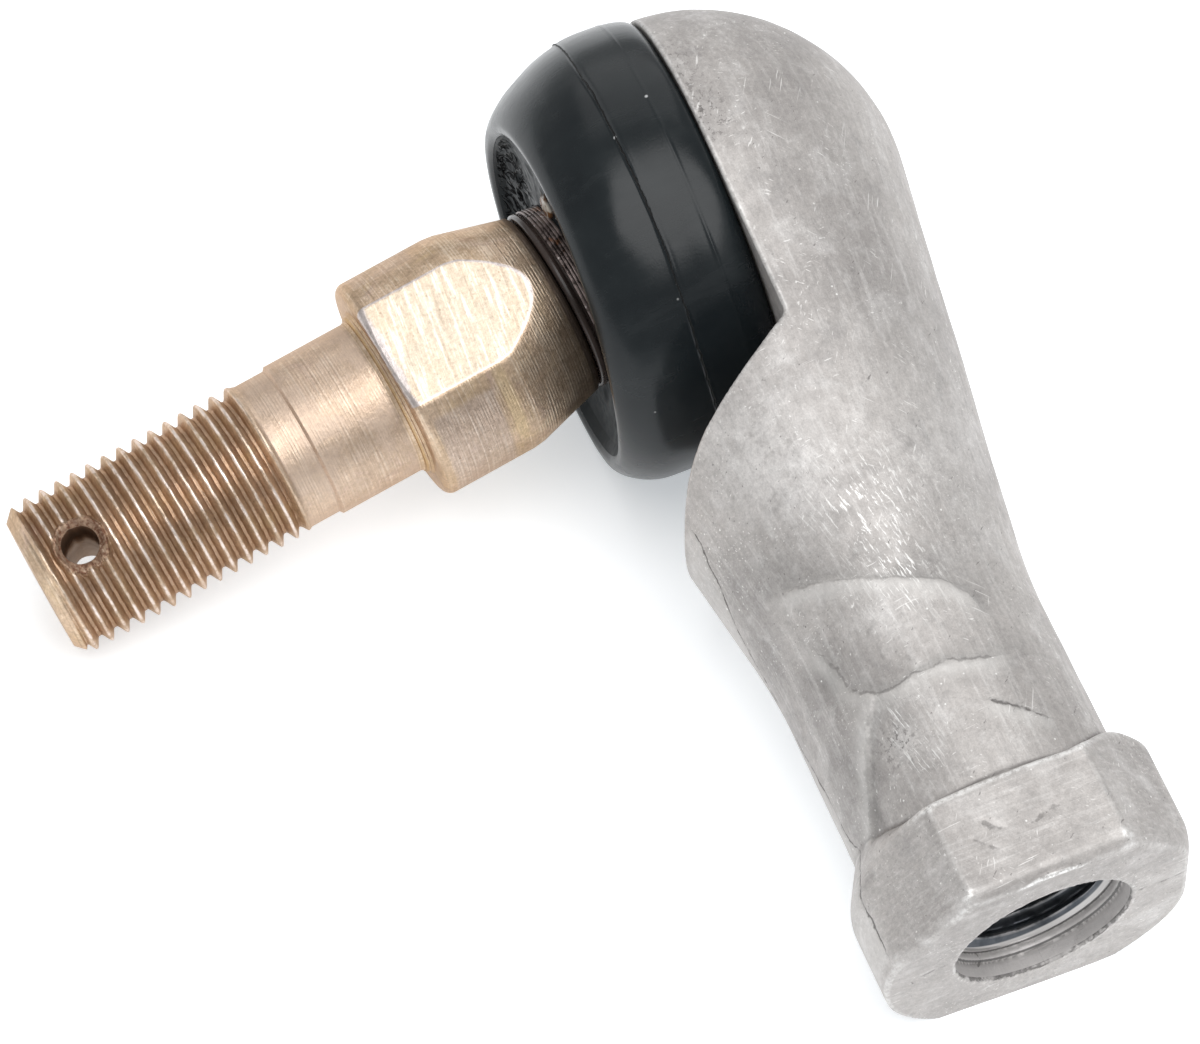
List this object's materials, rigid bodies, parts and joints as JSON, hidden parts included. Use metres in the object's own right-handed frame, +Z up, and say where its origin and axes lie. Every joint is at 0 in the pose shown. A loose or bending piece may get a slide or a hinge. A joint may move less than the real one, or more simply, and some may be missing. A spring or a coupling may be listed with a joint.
{
  "type": "rod end bearing",
  "caption": "Angle ball joint rod end: domed housing with a tapped shank and wrench collar, and a rubber-sealed threaded ball stud with two wrench flats and a cotter hole.",
  "frame": {"origin": "centre of the ball, where the stud's axis crosses the shank's axis", "axes": "+X along the shank to its tapped end, -Y out of the socket's mouth (the stud leans 7.3 degrees from -Y towards +X at rest), +Z up as the joint lies on its side"},
  "size_m": [0.0759, 0.0696, 0.032],
  "materials": {
    "housing_alloy": "tumbled forging, satin, scratched and smudged",
    "stud_steel": "turned, yellow zinc plated",
    "boot_rubber": "moulded rubber, satin",
    "seat_plastic": "moulded acetal",
    "washer_steel": "stamped, oiled",
    "spring_steel": "hardened, oiled",
    "clip_steel": "flat wire, browned and greasy"
  },
  "bodies": {
    "housing": {"housing": "housing_alloy", "lower_seat": "seat_plastic", "upper_seat": "seat_plastic", "retaining_washer": "washer_steel", "preload_spring": "spring_steel", "boot": "boot_rubber", "boot_base_ring": "spring_steel"},
    "boot_lip": {"boot_lip": "boot_rubber"},
    "boot_clip": {"boot_clip": "clip_steel"},
    "ball_stud": {"ball_stud": "stud_steel"}
  },
  "joints": [
    {"name": "stud_swing", "type": "hinge", "parent": "housing", "child": "boot_lip", "pos_m": [0, 0, 0], "axis": [0, 0, 1], "range_deg": [-27.3, 12.7], "deforming": ["boot"]},
    {"name": "stud_rock", "type": "hinge", "parent": "boot_lip", "child": "boot_clip", "pos_m": [0, 0, 0], "axis": [0.9919, 0.1271, 0], "range_deg": [-20, 20], "deforming": ["boot", "boot_lip"]},
    {"name": "stud_spin", "type": "hinge", "parent": "boot_clip", "child": "ball_stud", "pos_m": [0, 0, 0], "axis": [0.1271, -0.9919, 0], "continuous": true}
  ]
}
